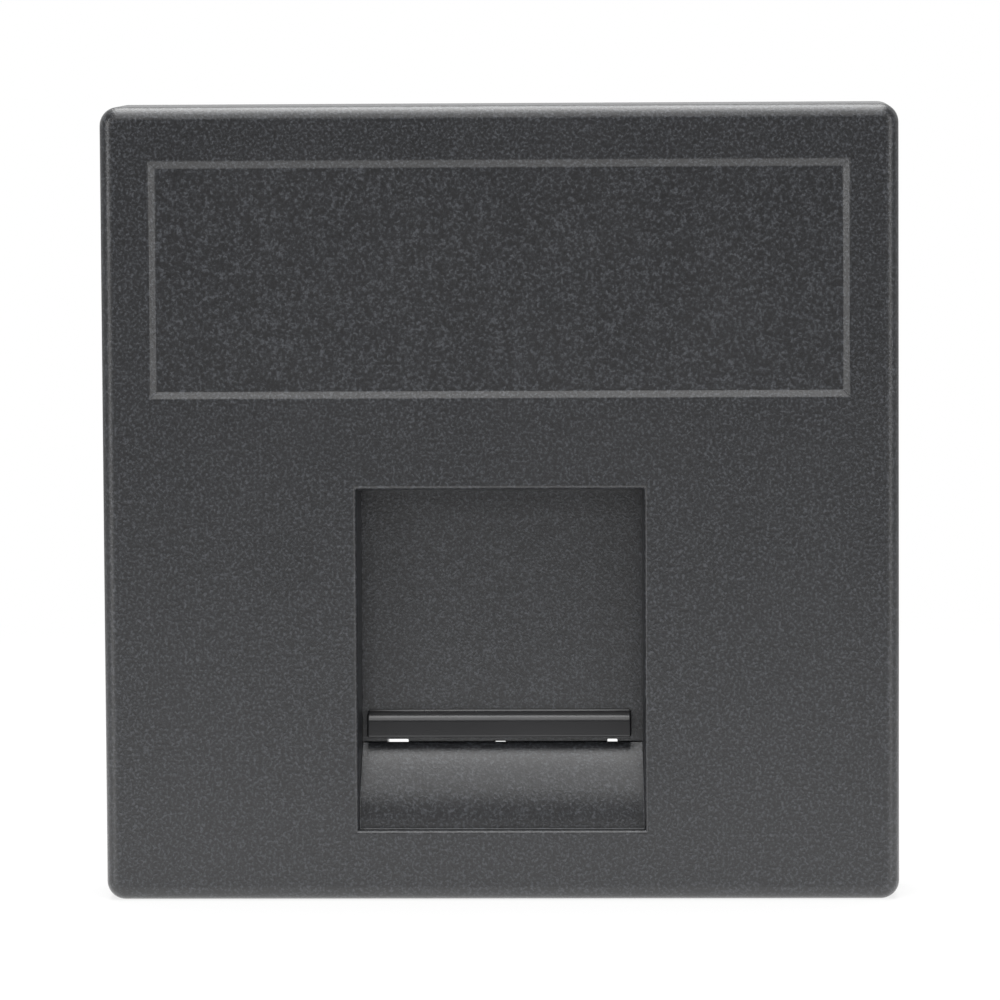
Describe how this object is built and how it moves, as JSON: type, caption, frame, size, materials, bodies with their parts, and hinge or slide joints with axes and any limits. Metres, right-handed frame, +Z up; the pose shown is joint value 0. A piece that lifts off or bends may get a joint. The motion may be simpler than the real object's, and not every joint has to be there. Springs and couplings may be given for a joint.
{
  "type": "keystone faceplate",
  "caption": "Square snap-in wall faceplate for a keystone jack, with a spring-returned sliding dust shutter and a recessed label field.",
  "frame": {"origin": "centre of the plane of the rear rim, which seats on the mounting frame", "axes": "+X to the right seen from the front, +Y out of the back, towards the wall, +Z up; the front faces -Y"},
  "size_m": [0.045, 0.016, 0.045],
  "materials": {
    "textured_plastic": "graphite grey moulded plastic with a fine spark-eroded grain",
    "shutter_plastic": "graphite grey moulded plastic, grained panel with a smooth lip",
    "carrier_plastic": "dark grey moulded plastic, smooth",
    "spring_steel": "drawn spring wire"
  },
  "bodies": {
    "faceplate": {"front_plate": "textured_plastic", "keystone_carrier": "carrier_plastic", "shutter_spring": "spring_steel"},
    "shutter": {"shutter": "shutter_plastic"}
  },
  "joints": [
    {"name": "shutter_slide", "type": "slide", "parent": "faceplate", "child": "shutter", "axis": [0, 0, 1], "range_m": [0, 0.0124], "stiffness_N_per_m": 35, "springref_m": -0.006, "deforming": ["shutter_spring"]}
  ]
}
